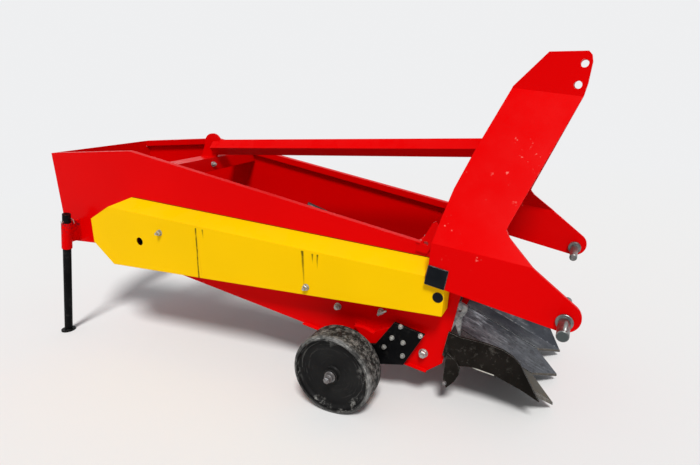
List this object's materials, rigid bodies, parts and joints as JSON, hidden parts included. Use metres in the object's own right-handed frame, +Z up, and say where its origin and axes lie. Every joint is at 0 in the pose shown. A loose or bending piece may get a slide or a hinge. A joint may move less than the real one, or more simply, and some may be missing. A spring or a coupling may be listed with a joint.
{
  "type": "potato digger",
  "caption": "Mounted potato digger with a rod web elevator, three-point headstock, chain drive, digging shares, two support wheels and a parking stand.",
  "frame": {"origin": "on the ground, under the middle of the machine's length and width", "axes": "+X forwards to the tractor, +Y to the machine's left, +Z up"},
  "size_m": [2.467, 1.058, 1.236],
  "materials": {
    "red_paint": "gloss red enamel",
    "yellow_paint": "gloss yellow enamel",
    "black_paint": "satin black enamel",
    "wheel_black": "black enamel, scuffed on the tread",
    "black_plastic": "matte",
    "black_rubber": "matte",
    "zinc_steel": "zinc plated",
    "bare_steel": "turned and oiled",
    "web_steel": "hot-rolled rods on rubber belts",
    "blade_steel": "blued spring steel",
    "gearbox_grey": "painted casting"
  },
  "bodies": {
    "frame": {"side_wall_right": "red_paint", "side_wall_left": "red_paint", "rear_wall": "red_paint", "cross_beam": "red_paint", "brace_lug": "red_paint", "brace": "red_paint", "headstock_right": "red_paint", "headstock_left": "red_paint", "headstock_spreader": "red_paint", "tool_tube": "red_paint", "tube_plugs": "black_plastic", "hitch_pin_right": "zinc_steel", "hitch_pin_left": "zinc_steel", "wall_gussets": "red_paint", "gearbox": "gearbox_grey", "gearbox_hanger": "red_paint", "cross_shaft": "bare_steel", "chain_guard_rear": "yellow_paint", "chain_guard_front": "yellow_paint", "elevator_shaft": "bare_steel", "front_roller": "bare_steel", "carrier_rollers": "bare_steel", "rod_web": "web_steel", "web_seals": "black_rubber", "bearings_left": "gearbox_grey", "share_beam": "black_paint", "share_right": "blade_steel", "share_middle": "blade_steel", "share_left": "blade_steel", "side_knives": "black_paint", "toe_skids": "black_paint", "front_brackets": "zinc_steel", "arm_bracket_right": "red_paint", "arm_bracket_left": "red_paint", "wheel_arm_right": "black_paint", "wheel_arm_left": "black_paint", "stand_sleeve": "red_paint"},
    "wheel_right_body": {"wheel_right": "wheel_black"},
    "wheel_left_body": {"wheel_left": "wheel_black"},
    "drive_input": {"pto_shaft": "bare_steel"},
    "stand": {"stand_leg": "black_paint", "stand_pin": "zinc_steel"}
  },
  "joints": [
    {"name": "wheel_right_spin", "type": "hinge", "parent": "frame", "child": "wheel_right_body", "pos_m": [0.4325, -0.46, 0.155], "axis": [0, 1, 0], "continuous": true},
    {"name": "wheel_left_spin", "type": "hinge", "parent": "frame", "child": "wheel_left_body", "pos_m": [0.4325, 0.46, 0.155], "axis": [0, 1, 0], "continuous": true},
    {"name": "drive_input_spin", "type": "hinge", "parent": "frame", "child": "drive_input", "pos_m": [0.7865, 0, 0.462], "axis": [1, 0, 0], "continuous": true},
    {"name": "stand_slide", "type": "slide", "parent": "frame", "child": "stand", "axis": [0.2504, 0, 0.9681], "range_m": [0, 0.3]}
  ]
}
